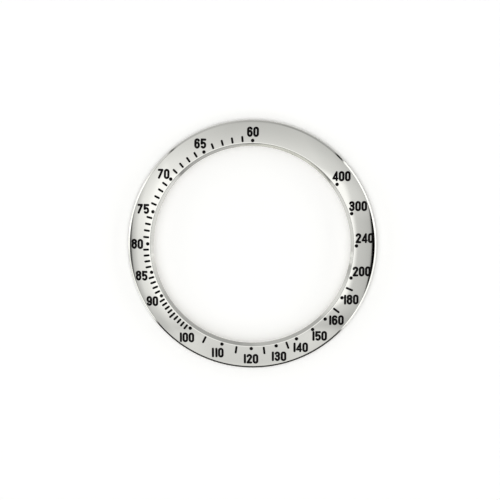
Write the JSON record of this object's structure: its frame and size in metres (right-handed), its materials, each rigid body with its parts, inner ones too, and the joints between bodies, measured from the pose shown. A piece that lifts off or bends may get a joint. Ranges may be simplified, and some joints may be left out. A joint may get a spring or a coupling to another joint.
{
  "type": "watch bezel",
  "caption": "Fixed round watch bezel: polished steel ring with a crowned sloping face, engraved black tachymeter scale, inner bevel and a nylon gasket under its lip.",
  "frame": {"origin": "on the bezel's axis, at the level of the flat underside that sits on the watch case", "axes": "+Z along the bezel's axis towards the wearer, +Y towards twelve o'clock, +X towards three o'clock"},
  "size_m": [0.0386, 0.0386, 0.0023],
  "materials": {
    "polished_steel": "mirror-polished stainless steel",
    "black_lacquer": "cured black lacquer, satin gloss",
    "nylon": "natural off-white moulded nylon"
  },
  "bodies": {
    "root": {"bezel_ring": "polished_steel", "retaining_gasket": "nylon", "numeral_60_digit_1": "black_lacquer", "numeral_60_digit_2": "black_lacquer", "numeral_65_digit_1": "black_lacquer", "numeral_65_digit_2": "black_lacquer", "numeral_70_digit_1": "black_lacquer", "numeral_70_digit_2": "black_lacquer", "numeral_75_digit_1": "black_lacquer", "numeral_75_digit_2": "black_lacquer", "numeral_80_digit_1": "black_lacquer", "numeral_80_digit_2": "black_lacquer", "numeral_85_digit_1": "black_lacquer", "numeral_85_digit_2": "black_lacquer", "numeral_90_digit_1": "black_lacquer", "numeral_90_digit_2": "black_lacquer", "numeral_100_digit_1": "black_lacquer", "numeral_100_digit_2": "black_lacquer", "numeral_100_digit_3": "black_lacquer", "numeral_110_digit_1": "black_lacquer", "numeral_110_digit_2": "black_lacquer", "numeral_110_digit_3": "black_lacquer", "numeral_120_digit_1": "black_lacquer", "numeral_120_digit_2": "black_lacquer", "numeral_120_digit_3": "black_lacquer", "numeral_130_digit_1": "black_lacquer", "numeral_130_digit_2": "black_lacquer", "numeral_130_digit_3": "black_lacquer", "numeral_140_digit_1": "black_lacquer", "numeral_140_digit_2": "black_lacquer", "numeral_140_digit_3": "black_lacquer", "numeral_150_digit_1": "black_lacquer", "numeral_150_digit_2": "black_lacquer", "numeral_150_digit_3": "black_lacquer", "numeral_160_digit_1": "black_lacquer", "numeral_160_digit_2": "black_lacquer", "numeral_160_digit_3": "black_lacquer", "numeral_180_digit_1": "black_lacquer", "numeral_180_digit_2": "black_lacquer", "numeral_180_digit_3": "black_lacquer", "numeral_200_digit_1": "black_lacquer", "numeral_200_digit_2": "black_lacquer", "numeral_200_digit_3": "black_lacquer", "numeral_240_digit_1": "black_lacquer", "numeral_240_digit_2": "black_lacquer", "numeral_240_digit_3": "black_lacquer", "numeral_300_digit_1": "black_lacquer", "numeral_300_digit_2": "black_lacquer", "numeral_300_digit_3": "black_lacquer", "numeral_400_digit_1": "black_lacquer", "numeral_400_digit_2": "black_lacquer", "numeral_400_digit_3": "black_lacquer"}
  },
  "joints": []
}
